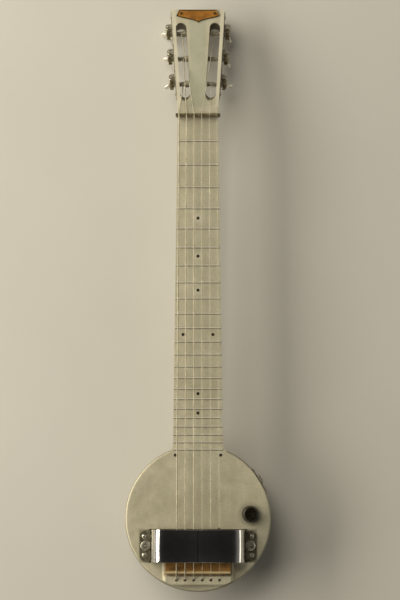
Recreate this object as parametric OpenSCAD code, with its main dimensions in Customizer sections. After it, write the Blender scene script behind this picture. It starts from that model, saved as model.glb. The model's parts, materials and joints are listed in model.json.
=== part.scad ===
// Cast-metal lap steel guitar: round hollow pan, neck and slotted headstock in one casting,
// with a horseshoe-magnet pickup and six worm-and-gear tuning machines.
// Units are millimetres. The origin is the centre of the pan's flat back, +Z leaves the
// playing face, +Y runs up the neck to the headstock, and the bass strings are at -X.

/* [Strings] */
// String length from the nut's front edge to the saddle crest
scale_length = 571.5; // [520:0.5:640]
// Number of fret ridges cast across the neck
fret_count = 23; // [12:1:23]
// Spacing between neighbouring strings at the nut
nut_spacing = 9.5; // [8:0.1:9.6]
// Spacing between neighbouring strings at the saddle
saddle_spacing = 10.6; // [9:0.1:11]
// Height of the strings' undersides above the face at the nut
nut_action = 9; // [7:0.5:11]
// Height of the strings' undersides above the face at the saddle
saddle_action = 11; // [10:0.5:12]

/* [Pan] */
// Outside diameter of the round pan
pan_d = 181; // [176:1:220]
// Depth of the pan from its face to its flat back
pan_depth = 38; // [36:1:50]
// Thickness of the pan's face plate
face_wall = 5; // [4:0.5:6]
// Thickness of the pan's side wall
side_wall = 7; // [5:0.5:7]
// Thickness of the pan's back
back_wall = 6; // [4:0.5:8]
// Radius of the edge between side and face
rim_radius = 3; // [1:0.5:4]
// Radius of the edge between side and back
back_radius = 14; // [8:1:16]
// Distance from the pan's centre down to the saddle crest
saddle_drop = 66.5; // [65:0.5:68]

/* [Neck] */
// Width of the neck at the nut
nut_w = 51; // [50:0.5:60]
// Width of the neck where it meets the pan
neck_root_w = 62.5; // [58:0.5:68]
// Depth of the neck at the nut
neck_depth_nut = 21; // [18:0.5:24]
// Depth of the neck at the pan
neck_depth_root = 27; // [24:0.5:30]
// Radius of the web between neck and pan
root_fillet = 9; // [5:0.5:14]
// Height of a fret ridge
fret_h = 0.9; // [0.4:0.1:1.5]
// Width of a fret ridge at its foot
fret_foot = 3.2; // [2:0.1:4]
// Width of a fret ridge at its crest
fret_crest = 1.1; // [0.6:0.1:1.6]
// Diameter of a position dot
dot_d = 4; // [3:0.5:5]

/* [Headstock] */
// Angle that the headstock falls back from the face
head_angle = 12; // [8:1:15]
// Length of the headstock's face
head_len = 142; // [140:1:170]
// Width of the headstock at its free end
head_end_w = 68.5; // [68:0.5:80]
// Thickness of the headstock
head_t = 20; // [19:0.5:24]
// Width of a headstock slot
slot_w = 13.5; // [12.5:0.5:14]
// Wall between a slot and the headstock's side
slot_wall = 4.25; // [4:0.25:5]
// Distance from the bend behind the nut to a slot's near end
slot_start = 13; // [10:1:16]
// Length of a slot
slot_len = 110; // [108:1:112]

/* [Tuning machines] */
// Distance between neighbouring string posts
post_pitch = 35; // [34:0.5:35.5]
// Distance from the bend behind the nut to the first post
first_post = 41; // [41:0.5:44]
// Depth of the posts' axes below the headstock's face
post_depth = 9; // [8.5:0.5:10]
// Radius of a string post
post_r = 3; // [2.6:0.1:3.2]
// Number of teeth on a tuner gear
gear_teeth = 14; // [13:1:15]
// Gear module
gear_module = 0.9; // [0.85:0.05:0.95]
// Thickness of a tuner gear
gear_t = 4.4; // [3:0.2:4.8]
// Thickness of a tuner side plate
plate_t = 1; // [0.8:0.1:1.5]
// Width of a tuner side plate
plate_w = 16; // [15:0.5:17]
// Length of a tuner side plate
plate_len = 116; // [114:0.5:117]
// Radius of a worm shaft
shaft_r = 1.5; // [1.2:0.1:1.6]
// Distance across a tuner button's wings
button_w = 21; // [16:0.5:23]
// Length of a tuner button along its shaft
button_len = 13; // [10:0.5:14]
// Thickness of a tuner button
button_t = 6.4; // [5:0.2:7]

/* [Pickup] */
// Width of the pair of horseshoe magnets
magnet_span = 116; // [112:0.5:117]
// Length of a magnet along the strings
magnet_len = 40; // [38:0.5:41]
// Height of a magnet's loop
magnet_h = 36; // [35:0.5:37]
// Thickness of the magnet bar
magnet_t = 6.35; // [5:0.05:6.5]
// Height of the magnets' tops above the face
magnet_rise = 25; // [24.5:0.5:26]
// Gap between the two magnets
magnet_gap = 1; // [0.5:0.1:2]
// Distance from the pan's centre down to the pickup's centre
pickup_drop = 34; // [33:0.5:35]
// Reach of a mounting ear beyond the pan's cut-out
ear_reach = 11.5; // [11:0.5:12.5]
// Radius of a large pickup screw's head
big_head_r = 6.2; // [5:0.1:6.5]

/* [Bridge] */
// Half of the width of the bridge block's top
bridge_half = 40; // [36:0.5:41]
// Height of the bridge block above the face
bridge_h = 7; // [6:0.5:8]
// Distance from the saddle crest back to the row of string holes
hole_setback = 9.2; // [9:0.1:9.6]
// Radius of a string hole
string_hole_r = 1.7; // [1.2:0.1:2]

/* [Controls] */
// Distance of the volume knob from the centre line
knob_x = 64.5; // [60:0.5:66]
// Distance of the volume knob above the pan's centre
knob_y = 5; // [2:0.5:10]
// Diameter of the volume knob
knob_d = 20.4; // [18:0.2:21]
// Height of the volume knob
knob_h = 14; // [12:0.5:18]
// Angle of the output jack round the rim, from the treble side towards the neck
jack_angle = 32; // [30:1:38]
// Radius of the output jack's socket
jack_r = 3.25; // [3.2:0.05:3.3]

/* [Hidden] */
$fn = 48;
eps = 0.01;
run_fit = 0.05;             // radial running clearance of a shaft
slip_fit = 0.15;            // radial clearance of a part through a cored hole
thread_fit = 0.02;          // radial clearance round a screw or a pressed part
seat_gap = 0.3;             // gap left at the end of a running part

pan_r = pan_d / 2;
cavity_r = pan_r - side_wall;
face_z = pan_depth;
nut_y = scale_length - saddle_drop;
saddle_y = -saddle_drop;
pickup_y = -pickup_drop;
hole_y = saddle_y - hole_setback;

nut_t = 4;                  // nut thickness along the strings
bend_gap = 5;               // distance from the nut's crest to the headstock's bend
nut_back = 1.6;             // the nut reaches this far past its crest, towards the headstock
nut_sink = 1;               // depth of the groove that holds the nut
nut_lip = 0.4;              // the nut's crest stands this far above the strings' undersides
nut_front = nut_y + nut_back - nut_t;
nut_fall = 2.1;             // fall of the nut's top towards the headstock
nut_over = 2.6;             // overhang of the nut beyond each side of the neck
bend_y = nut_y + bend_gap;  // line where the headstock falls back
head_taper = atan((head_end_w - nut_w) / 2 / head_len);
root_y = sqrt(pan_r * pan_r - neck_root_w * neck_root_w / 4);
neck_start = root_y - 13;
web_depth = 15;             // depth of the webs at the neck's root
web_bite = 0.6;             // how far a web's round cuts into the rim, so that it ends in it
head_lap = 12;              // how far the headstock runs back under the nut
ramp_run = 8;               // length of the ramp at each slot's near end
ramp_angle = 35;            // fall of that ramp

dot_depth = 1.2;
dot_inset = 0.25;           // the dots' tops lie this far below the face
dot_frets = [5, 7, 9, 17, 19];
twelfth_spread = 18.6;      // the paired dots' distance from the centre line
octave_spread = 28.2;
octave_drop = 2.9;          // the last pair's distance past the middle of its fret space

string_radii = [0.18, 0.23, 0.33, 0.46, 0.58, 0.71];   // string 1 is the thinnest
groove_play = 0.05;
hole_play = 0.3;            // gap between a string and the front of its hole
wrap_in = [9.5, 11.5, 11];  // where each string meets its post, in from the headstock's side
wrap_turns = 4;

// Tuner gear and worm
pitch_r = gear_module * gear_teeth / 2;
axial_pitch = PI * gear_module;
worm_pitch_r = 2.6;
thread_mid_r = 2.35;        // radius of the helix that the thread's middle follows
thread_r = 0.62;            // radius of the thread's round section
worm_core_r = 1.95;
gear_tip_r = pitch_r + 0.15;
tooth_gap_r = 0.8;
centre_distance = pitch_r + worm_pitch_r;
lead_angle = atan(axial_pitch / (2 * PI * worm_pitch_r));
worm_len = 8;
gear_v = plate_t + 4.4;     // distance of the gear's middle from the headstock's side
seat_r = 2.2;               // post end that carries the gear
ear_t = 1.2;
ear_half = 3.3;
bracket_t = 0.8;
bracket_gap = worm_len + 2 * seat_gap;
plate_start = 23;
button_clear = 7;           // gap between a turning button and the back of the headstock
button_reach = min(1, gear_v / (button_w / 2));
button_top = max(bracket_gap / 2 + ear_t + 1, head_t - post_depth + button_clear
    - button_len / 2 * (1 - sqrt(1 - button_reach * button_reach)));
button_angles = [5, -56, -62, 25, 25, -10];   // how each button stands when the strings are in tune
post_end = slot_wall + slot_w + 5;        // how far a post reaches in from the headstock's side
plate_screws = [plate_start + 4, first_post + 20, first_post + post_pitch + 20,
    plate_start + plate_len - 4];

// Pickup
magnet_low = face_z + magnet_rise - magnet_h;
magnet_bend_r = magnet_h / 2;
frame_t = 1.7;
frame_in = magnet_span / 2 + 0.8;
frame_out = frame_in + frame_t;
floor_t = 2;
cut_play = 0.5;
cut_half_w = frame_out + cut_play;
cut_half_l = magnet_len / 2 + cut_play;
frame_len = magnet_len - 2;
ear_plate_t = 2;
ear_corner = 7;
ear_screw_x = frame_out + 6;
ear_screw_dy = 11.5;
ear_screw_r = 1.4;
big_screw_x = frame_out + 4.3;
big_screw_r = 2.5;
bobbin_half = 33.5;
bobbin_deep = 10.5;
coil_half = 32;
coil_deep = 9;
core_half = 29.5;
core_deep = 3.5;
flange_t = 2.5;
leg_top = magnet_low + magnet_t;
pole_r = 2.4;
pole_top = face_z + saddle_action - 1.9;
bobbin_top = pole_top - 1.2;
clamp_x = 20.5;
clamp_dy = 7.5;
clamp_r = 1.4;

// Bridge
bridge_foot = 3.6;          // how far the block's flanks spread at its foot
bridge_front = pickup_y - magnet_len / 2 - 1;
bridge_back = saddle_y - 14.4;
bridge_slope = 2.6;         // run of the block's rear flank
rebate_h = 2;
saddle_back = saddle_y - 2.4;
saddle_flat = 1.6;          // width of the worn flat on the saddle's crest
plateau_y = saddle_y - 4.8;
boss_half = bridge_half - 2;
ball_r = 2.1;
ball_len = 4;
ball_bore_r = 3;
anchor_z = 12;              // depth of the ball seats in the pan's back

// Volume control
pot_r = 12;
pot_h = 10.5;
bush_r = 3.75;
pot_shaft_r = 3;
bush_top = face_z + 4.5;
pot_nut_r = 6.2;
pot_nut_h = 2;
washer_r = 6.8;
washer_t = 0.6;
knob_lift = 0.9;
knob_wall = 2.4;
knob_roof = bush_top + 0.8;
knob_top = face_z + knob_lift + knob_h;

// Output jack
jack_flat = pan_r - 2;      // distance of the rim's milled flat from the pan's axis
jack_z = pan_depth / 2;
jack_plate_size = [1.6, 32, 18];
jack_window = [21, 13];
jack_bush_r = 4.75;
jack_body = [20, 18, 11.5];
jack_screw_y = 13;
jack_screw_r = 1.2;
jack_top = jack_flat + jack_plate_size[0];
jack_nut_h = 2.2;
jack_nose = jack_top + jack_nut_h + 1;
jack_bore_len = 16;

// Badge
badge_t = 1.2;
badge_pin_x = 21.5;
badge_pin_a = head_len - 6;

// Wiring
wire_r = 0.7;
notch_r = 1.4;
notch_x = 26;
notch_y = pickup_y + cut_half_l + 0.5;

// ---- shared places ----

function fret_y(n) = nut_y - scale_length * (1 - pow(2, -n / 12));
function space_y(n) = (fret_y(n) + fret_y(n - 1)) / 2;
function neck_w(y) = nut_w + (neck_root_w - nut_w) * (nut_y - y) / (nut_y - root_y);
function across(i) = 3.5 - i;                        // string 1 is on the treble side
function string_x(i, y) = across(i) * (saddle_spacing
    + (nut_spacing - saddle_spacing) * (y - saddle_y) / scale_length);
function side_of(i) = i <= 3 ? 1 : -1;
function place_of(i) = i <= 3 ? i - 1 : 6 - i;       // 0 is the post nearest the nut
function post_a(i) = first_post + post_pitch * place_of(i);
function wrap_of(i) = wrap_in[place_of(i)];

// Height of the neck cone's axis above the face, where the neck is w wide and d deep
function cone_rise(w, d) = (w * w / 4 - d * d) / (2 * d);

// A point given in the headstock's own frame: across, along its face, out of its face
function from_head(p) = [
    p[0],
    bend_y + p[1] * cos(head_angle) + p[2] * sin(head_angle),
    face_z - p[1] * sin(head_angle) + p[2] * cos(head_angle)
];

// A point given in a side plate's frame: out from the side, along it, out of the face
function from_side(side, p) = from_head([
    side * (nut_w / 2 + p[0] * cos(head_taper) + p[1] * sin(head_taper)),
    p[1] * cos(head_taper) - p[0] * sin(head_taper),
    p[2]
]);

module head_frame() translate([0, bend_y, face_z]) rotate([-head_angle, 0, 0]) children();

module side_frame(side) head_frame() mirror([side < 0 ? 1 : 0, 0, 0])
    translate([nut_w / 2, 0, 0]) rotate([0, 0, -head_taper]) children();

// ---- shared shapes ----

module along_x(h, r) rotate([0, 90, 0]) cylinder(h = h, r = r);

module block(x, y, z) translate([x[0], y[0], z[0]]) cube([x[1] - x[0], y[1] - y[0], z[1] - z[0]]);

module rod(p, q, r) {
    d = q - p;
    len = norm(d);
    translate(p) rotate([0, acos(d[2] / len), atan2(d[1], d[0])]) cylinder(h = len, r = r);
}

// A bent wire with a ball at every inner corner
module bent_wire(points, r) {
    for (k = [0:len(points) - 2]) rod(points[k], points[k + 1], r);
    for (k = [1:len(points) - 2]) translate(points[k]) sphere(r = r * 1.06);
}

// A closed tube through a list of rings, each a list of as many points
module skin(rings) {
    sides = len(rings[0]);
    last = (len(rings) - 1) * sides;
    walls = [for (j = [0:len(rings) - 2], k = [0:sides - 1])
        let (a = j * sides + k, b = j * sides + (k + 1) % sides)
        each [[a, b, a + sides], [b, b + sides, a + sides]]];
    near_end = [for (k = [1:sides - 2]) [0, k + 1, k]];
    far_end = [for (k = [1:sides - 2]) [last, last + k, last + k + 1]];
    polyhedron([for (ring = rings) each ring], concat(walls, near_end, far_end));
}

function unit(v) = v / norm(v);

// A lead through the given points, with its rings mitred at the bends
module lead_wire(points, r, sides = 8) {
    last = len(points) - 1;
    skin([for (k = [0:last]) let (
        t = unit(unit(points[min(k + 1, last)] - points[min(k, last - 1)])
            + unit(points[max(k, 1)] - points[max(k - 1, 0)])),
        n = unit(cross(t, [0.4, 0.8, 0.3])), b = cross(t, n))
        [for (s = [0:sides - 1]) points[k] + r * (cos(360 * s / sides) * n + sin(360 * s / sides) * b)]]);
}

// A round-headed screw, head up, with its underside at the origin
module screw(head_r, head_h, shank_r, shank_len, slot = 0.9) {
    difference() {
        union() {
            intersection() {
                cylinder(h = head_h, r = head_r);
                translate([0, 0, head_h - head_r * 1.5]) sphere(r = head_r * 1.5);
            }
            translate([0, 0, -shank_len]) cylinder(h = shank_len + eps, r = shank_r);
        }
        translate([-head_r, -slot / 2, head_h * 0.5]) cube([2 * head_r, slot, head_h]);
    }
}

// ---- casting ----

module pan_profile() {
    square([pan_r - back_radius, pan_depth]);
    translate([0, back_radius]) square([pan_r, pan_depth - back_radius - rim_radius]);
    translate([0, back_radius]) square([pan_r - rim_radius, pan_depth - back_radius]);
    translate([pan_r - back_radius, back_radius]) circle(back_radius);
    translate([pan_r - rim_radius, pan_depth - rim_radius]) circle(rim_radius);
}

module neck_solid() {
    nut_rise = cone_rise(nut_w, neck_depth_nut);
    root_rise = cone_rise(neck_root_w, neck_depth_root);
    run = bend_y - neck_start;
    intersection() {
        translate([0, neck_start, face_z + root_rise])
            rotate([atan((nut_rise - root_rise) / run) - 90, 0, 0])
                cylinder(h = run, r1 = root_rise + neck_depth_root, r2 = nut_rise + neck_depth_nut);
        block([-pan_r, pan_r], [neck_start - 5, bend_y + 5], [0, face_z]);
    }
}

// Webs that round the corners between the neck's sides and the pan's rim
module root_web() {
    half = neck_root_w / 2 - 0.2;
    x = half + root_fillet;
    reach = pan_r + root_fillet - web_bite;
    y = sqrt(reach * reach - x * x);
    rim = pan_r / reach;
    for (side = [0, 1]) mirror([side, 0, 0])
        translate([0, 0, face_z - web_depth]) linear_extrude(web_depth) difference() {
            polygon([[half - 6, root_y - 6], [half - 6, y], [half + 0.1, y], [x, y],
                [x * rim, y * rim], [x * rim - 3, y * rim - 6]]);
            translate([x, y]) circle(root_fillet);
        }
}

module head_outline() polygon([
    [-nut_w / 2, 0], [-head_end_w / 2, head_len], [head_end_w / 2, head_len], [nut_w / 2, 0],
    [nut_w / 2 - 3, -head_lap], [-nut_w / 2 + 3, -head_lap]
]);

module headstock() intersection() {
    head_frame() translate([0, 0, -head_t]) linear_extrude(head_t) head_outline();
    block([-pan_r, pan_r], [0, bend_y + head_len + 5], [-pan_r, face_z]);
}

// Two slots right through, each with a ramp at its near end that the strings dip into
module head_slots() for (side = [-1, 1]) side_frame(side)
    translate([-slot_wall - slot_w / 2, 0, 0]) {
        r = slot_w / 2;
        near = slot_start + ramp_run + r;
        far = slot_start + slot_len - r;
        for (y = [near, far]) translate([0, y, -2 * head_t]) cylinder(h = 3 * head_t, r = r);
        translate([-r, near, -2 * head_t]) cube([slot_w, far - near, 3 * head_t]);
        translate([0, slot_start + r * sin(ramp_angle), r * cos(ramp_angle)])
            rotate([-90 - ramp_angle, 0, 0]) translate([0, 0, -2 * r]) cylinder(h = 6 * r, r = r);
    }

module fret_ridges() for (n = [1:fret_count]) {
    half = neck_w(fret_y(n)) / 2 - 0.4;
    translate([-half, fret_y(n), face_z - eps]) rotate([90, 0, 90]) linear_extrude(2 * half)
        polygon([[-fret_foot / 2, 0], [fret_foot / 2, 0],
            [fret_crest / 2, fret_h], [-fret_crest / 2, fret_h]]);
}

// The bridge block's front-to-back profile
module bridge_side_profile() polygon([
    [bridge_front, face_z - 1], [bridge_front, face_z + rebate_h],
    [plateau_y + 0.8, face_z + rebate_h], [plateau_y, face_z + bridge_h],
    [bridge_back, face_z + bridge_h], [bridge_back - bridge_slope, face_z - 1]
]);

module bridge_block() intersection() {
    translate([-pan_r, 0, 0]) rotate([90, 0, 90]) linear_extrude(2 * pan_r) bridge_side_profile();
    rotate([90, 0, 0]) linear_extrude(pan_r) polygon([
        [-bridge_half - bridge_foot, face_z], [-bridge_half - bridge_foot, face_z - 1],
        [bridge_half + bridge_foot, face_z - 1], [bridge_half + bridge_foot, face_z],
        [bridge_half, face_z + bridge_h], [-bridge_half, face_z + bridge_h]
    ]);
    cylinder(h = face_z + bridge_h + 1, r = pan_r - rim_radius);
}

module string_bores() for (i = [1:6]) translate([string_x(i, saddle_y), hole_y, 0]) {
    translate([0, 0, -1]) cylinder(h = face_z + bridge_h + 2, r = string_hole_r);
    translate([0, 0, -1]) cylinder(h = anchor_z + 1, r = ball_bore_r);
}

module dot_at(x, y, low, high) translate([x, y, face_z - low]) cylinder(h = low - high, r = dot_d / 2);

module dots(low, high) {
    for (n = dot_frets) dot_at(0, space_y(n), low, high);
    for (side = [-1, 1]) dot_at(side * twelfth_spread, space_y(12), low, high);
    for (side = [-1, 1]) dot_at(side * octave_spread, space_y(24) - octave_drop, low, high);
}

module post_bores() for (i = [1:6]) side_frame(side_of(i)) translate([0, post_a(i), -post_depth]) {
    translate([-slot_wall - 1, 0, 0]) along_x(slot_wall + 2, post_r + slip_fit);
    translate([-post_end - seat_gap, 0, 0]) along_x(post_end - slot_wall - 2, post_r + run_fit);
}

module jack_frame() rotate([0, 0, jack_angle]) translate([0, 0, jack_z]) children();

module body_casting() color("#a89e86") difference() {
    union() {
        difference() {
            rotate_extrude($fn = 96) pan_profile();
            translate([0, 0, back_wall])
                cylinder(h = pan_depth - face_wall - back_wall, r = cavity_r);
        }
        intersection() {
            block([-boss_half, boss_half], [-pan_r, bridge_front - 2], [1, face_z - 1]);
            translate([0, 0, back_wall - 1]) cylinder(h = pan_depth - back_wall, r = cavity_r + 1);
        }
        neck_solid();
        root_web();
        headstock();
        fret_ridges();
        bridge_block();
    }
    head_slots();
    block([-nut_w, nut_w], [nut_y + nut_back - nut_t, nut_y + nut_back],
        [face_z - nut_sink, face_z + 5]);
    dots(dot_depth, -1);
    string_bores();
    post_bores();
    for (side = [-1, 1]) side_frame(side) for (a = plate_screws)
        translate([-slot_wall + 0.4, a, -post_depth]) along_x(slot_wall, 1 + thread_fit);
    for (side = [-1, 1]) head_frame()
        translate([side * badge_pin_x, badge_pin_a, -4]) cylinder(h = 5, r = 0.8 + thread_fit);
    block([-cut_half_w, cut_half_w], [pickup_y - cut_half_l, pickup_y + cut_half_l],
        [face_z - face_wall - 1, face_z + 3]);
    translate([notch_x, notch_y, face_z - face_wall - 1]) cylinder(h = face_wall + 3, r = notch_r);
    for (side = [-1, 1]) translate([0, pickup_y, face_z - face_wall - 1]) {
        translate([side * big_screw_x, 0, 0]) cylinder(h = face_wall + 3, r = big_screw_r + thread_fit);
        for (dy = [-1, 1]) translate([side * ear_screw_x, dy * ear_screw_dy, 0])
            cylinder(h = face_wall + 3, r = ear_screw_r + thread_fit);
    }
    translate([knob_x, knob_y, face_z - face_wall - 1])
        cylinder(h = face_wall + 3, r = bush_r + slip_fit);
    jack_frame() {
        translate([jack_flat, -pan_r, -jack_z - 1]) cube([pan_r, pan_d, pan_depth + 2]);
        translate([cavity_r - 6, -jack_window[0] / 2, -jack_window[1] / 2])
            cube([20, jack_window[0], jack_window[1]]);
        for (side = [-1, 1]) translate([jack_flat - 4.5, side * jack_screw_y, 0])
            along_x(6, jack_screw_r + thread_fit);
    }
}

module position_dots() color("#1b1714") dots(dot_depth, dot_inset);

module badge_outline() translate([0, head_len]) polygon([
    [-24, -0.8], [24, -0.8], [28, -9.3], [14, -14.2], [8, -16.6], [2.6, -17.2], [0, -19.2],
    [-2.6, -17.2], [-8, -16.6], [-14, -14.2], [-28, -9.3]
]);

module badge_plate() color("#8d5a2b") head_frame() difference() {
    linear_extrude(badge_t) badge_outline();
    for (side = [-1, 1]) translate([side * badge_pin_x, badge_pin_a, -1])
        cylinder(h = badge_t + 2, r = 0.8 + thread_fit);
}

module badge_pins() color("#6d4a28") for (side = [-1, 1]) head_frame()
    translate([side * badge_pin_x, badge_pin_a, 0]) {
        translate([0, 0, -3.5]) cylinder(h = badge_t + 3.6, r = 0.8);
        translate([0, 0, badge_t]) cylinder(h = 0.6, r = 1.6);
    }

// ---- strings, nut and saddle ----

// The string's bends: ball, hole mouth, saddle, nut and post
function string_route(i) = let (r = string_radii[i - 1], x = string_x(i, saddle_y),
    y = hole_y + string_hole_r - r - hole_play, side = side_of(i)) [
    [x, y, anchor_z - ball_r],
    [x, y, face_z + bridge_h + r + 0.2],
    [x, saddle_y, face_z + saddle_action + r],
    [string_x(i, nut_y), nut_y, face_z + nut_action + r],
    from_side(side, [-wrap_of(i), post_a(i), post_r + r + seat_gap - post_depth])
];

module string_body(i) color(i < 3 ? "#b9b7b0" : "#9b8f78") {
    r = string_radii[i - 1];
    bent_wire(string_route(i), r);
    translate([string_x(i, saddle_y) - ball_len / 2, hole_y, anchor_z - ball_r])
        along_x(ball_len, ball_r);
}

// A straight groove along one stretch of a string's route, run on past both of its ends
module string_groove(i, from, to) {
    p = string_route(i)[from];
    q = string_route(i)[to];
    along = (q - p) / norm(q - p);
    rod(p - along, q + along, string_radii[i - 1] + groove_play);
}

module nut() color("#3a3326") difference() {
    translate([-nut_w / 2 - nut_over, 0, 0]) rotate([90, 0, 90])
        linear_extrude(nut_w + 2 * nut_over) polygon([
            [nut_front, face_z - nut_sink], [nut_front, face_z + nut_action - 1.4],
            [nut_y - 0.6, face_z + nut_action + nut_lip],
            [nut_y + 0.6, face_z + nut_action + nut_lip],
            [nut_y + nut_back, face_z + nut_action + nut_lip - nut_fall],
            [nut_y + nut_back, face_z - nut_sink]
        ]);
    for (i = [1:6]) {
        string_groove(i, 2, 3);
        string_groove(i, 3, 4);
    }
}

module bridge_saddle() color("#8a6a3c") difference() {
    translate([-bridge_half, 0, 0]) rotate([90, 0, 90]) linear_extrude(2 * bridge_half) polygon([
        [bridge_front, face_z + rebate_h], [bridge_front, face_z + rebate_h + 2],
        [saddle_y + saddle_flat / 2, face_z + saddle_action + 0.3],
        [saddle_y - saddle_flat / 2, face_z + saddle_action + 0.3],
        [saddle_back, face_z + bridge_h], [saddle_back, face_z + rebate_h]
    ]);
    for (i = [1:6]) {
        string_groove(i, 1, 2);
        string_groove(i, 2, 3);
    }
}

// ---- tuning machines ----

module tuner_plate(side) color("#8f8a7c") side_frame(side) difference() {
    translate([0, plate_start, -post_depth - plate_w / 2]) cube([plate_t, plate_len, plate_w]);
    for (k = [0:2]) translate([-1, first_post + k * post_pitch, -post_depth])
        along_x(plate_t + 2, post_r + run_fit);
    for (a = plate_screws) translate([-1, a, -post_depth]) along_x(plate_t + 2, 1 + slip_fit);
}

module worm_bracket() difference() {
    union() {
        translate([plate_t, -ear_half, -bracket_gap / 2 - ear_t])
            cube([bracket_t, 2 * ear_half, bracket_gap + 2 * ear_t]);
        for (z = [bracket_gap / 2, -bracket_gap / 2 - ear_t]) {
            translate([plate_t, -ear_half, z]) cube([gear_v - plate_t, 2 * ear_half, ear_t]);
            translate([gear_v, 0, z]) cylinder(h = ear_t, r = ear_half);
        }
    }
    translate([gear_v, 0, -bracket_gap]) cylinder(h = 2 * bracket_gap, r = shaft_r + run_fit);
}

module tuner_brackets(side) color("#8f8a7c") side_frame(side)
    for (k = [0:2]) translate([0, first_post + k * post_pitch + centre_distance, -post_depth])
        worm_bracket();

module tuner_plate_screws() color("#4c463b") for (side = [-1, 1]) side_frame(side)
    for (a = plate_screws) translate([plate_t, a, -post_depth]) rotate([0, 90, 0])
        screw(2.1, 1.1, 1, 4.2, 0.5);

module post(i) color("#b5b0a2") side_frame(side_of(i)) translate([0, post_a(i), -post_depth]) {
    r = string_radii[i - 1];
    translate([-post_end, 0, 0]) along_x(post_end + gear_v - gear_t / 2, post_r);
    along_x(gear_v + gear_t / 2, seat_r);
    wrap_len = wrap_turns * 2 * r;
    translate([-wrap_of(i) - r - groove_play - wrap_len, 0, 0]) along_x(wrap_len, post_r + 2 * r);
}

module gear_blank() translate([-gear_t / 2, 0, 0]) difference() {
    along_x(gear_t, gear_tip_r);
    translate([-1, 0, 0]) along_x(gear_t + 2, seat_r + thread_fit);
}

// The tooth gaps lean with the thread's lead, and the left side's lean the other way
module gear(i) color("#9a8452") side_frame(side_of(i)) translate([gear_v, post_a(i), -post_depth]) {
    difference() {
        gear_blank();
        for (k = [0:gear_teeth - 1]) rotate([k * 360 / gear_teeth, 0, 0])
            translate([0, gear_tip_r, 0]) rotate([0, -side_of(i) * lead_angle, 0])
                translate([-gear_t, 0, 0]) along_x(2 * gear_t, tooth_gap_r);
    }
    translate([gear_t / 2 + 0.05, 0, 0]) rotate([0, 90, 0]) screw(3.2, 1.3, 0.9, 0.02, 0.6);
}

// One round-section thread, swept along a right-handed helix that crosses the gear's middle plane
// at the groove nearest the worm
function thread_point(t, k, sides) = let (a = -90 + 360 * t, b = 360 * k / sides,
    rad = thread_mid_r + thread_r * cos(b))
    [rad * cos(a), rad * sin(a), axial_pitch * t + thread_r * sin(b)];

module worm_thread(turns, steps = 12, sides = 6) {
    rings = round(turns * steps);
    skin([for (j = [0:rings]) [for (k = [0:sides - 1])
        thread_point((j - rings / 2) / steps, k, sides)]]);
}

module worm(i) color("#a8a395") side_frame(side_of(i))
    translate([gear_v, post_a(i) + centre_distance, -post_depth])
        mirror([side_of(i) < 0 ? 1 : 0, 0, 0]) {
            worm_thread(2);
            translate([0, 0, -worm_len / 2]) cylinder(h = worm_len, r = worm_core_r);
            translate([0, 0, -button_top - button_len * 0.6])
                cylinder(h = button_top + button_len * 0.6 + bracket_gap / 2 + ear_t + 1, r = shaft_r);
        }

module button(i) color("#b8b4a8") side_frame(side_of(i))
    translate([gear_v, post_a(i) + centre_distance, -post_depth - button_top])
        rotate([0, 0, button_angles[i - 1]]) difference() {
            union() {
                translate([0, 0, -button_len / 2])
                    scale([button_w / button_len, button_t / button_len, 1])
                        sphere(r = button_len / 2);
                translate([0, 0, -2.5]) cylinder(h = 2.5, r = shaft_r + 1);
            }
            translate([0, 0, -button_len * 0.6 - seat_gap])
                cylinder(h = button_len, r = shaft_r + thread_fit);
        }

// ---- pickup ----

module horseshoe() translate([0, magnet_len / 2, 0]) rotate([90, 0, 0]) linear_extrude(magnet_len)
    difference() {
        bend_x = magnet_span / 2 - magnet_bend_r;
        union() {
            translate([magnet_gap / 2, 0]) square([bend_x - magnet_gap / 2, magnet_h]);
            translate([bend_x, magnet_bend_r]) circle(magnet_bend_r);
        }
        union() {
            translate([0, magnet_t]) square([bend_x, magnet_h - 2 * magnet_t]);
            translate([bend_x, magnet_bend_r]) circle(magnet_bend_r - magnet_t);
        }
    }

module clamp_places() for (x = [-clamp_x, clamp_x], y = [-clamp_dy, clamp_dy])
    translate([x, pickup_y + y, 0]) children();

module magnet(side) color("#5f5f5f") difference() {
    translate([0, pickup_y, magnet_low]) mirror([side < 0 ? 1 : 0, 0, 0]) horseshoe();
    clamp_places() translate([0, 0, magnet_low - 1]) cylinder(h = magnet_t + 2, r = clamp_r + slip_fit);
}

module ear_outline() {
    translate([frame_in, -frame_len / 2]) square([frame_t + ear_reach - ear_corner, frame_len]);
    translate([frame_in, -frame_len / 2 + ear_corner])
        square([frame_t + ear_reach, frame_len - 2 * ear_corner]);
    for (y = [-1, 1]) translate([frame_out + ear_reach - ear_corner, y * (frame_len / 2 - ear_corner)])
        circle(ear_corner);
}

module pickup_frame() color("#77746c") translate([0, pickup_y, 0]) difference() {
    union() {
        block([-frame_out, frame_out], [-frame_len / 2, frame_len / 2],
            [magnet_low - floor_t, magnet_low]);
        for (side = [-1, 1]) mirror([side < 0 ? 1 : 0, 0, 0]) {
            block([frame_in, frame_out], [-frame_len / 2, frame_len / 2],
                [magnet_low - floor_t, face_z + ear_plate_t]);
            translate([0, 0, face_z]) linear_extrude(ear_plate_t) ear_outline();
        }
    }
    for (side = [-1, 1]) {
        translate([side * big_screw_x, 0, face_z - 1]) cylinder(h = 5, r = big_screw_r + slip_fit);
        for (dy = [-1, 1]) translate([side * ear_screw_x, dy * ear_screw_dy, face_z - 1])
            cylinder(h = 5, r = ear_screw_r + slip_fit);
    }
    translate([0, -pickup_y, 0]) clamp_places() translate([0, 0, magnet_low - floor_t - 1])
        cylinder(h = floor_t + 2, r = clamp_r + slip_fit);
}

module pole_places() for (i = [1:6]) translate([string_x(i, pickup_y), pickup_y, 0]) children();

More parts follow.
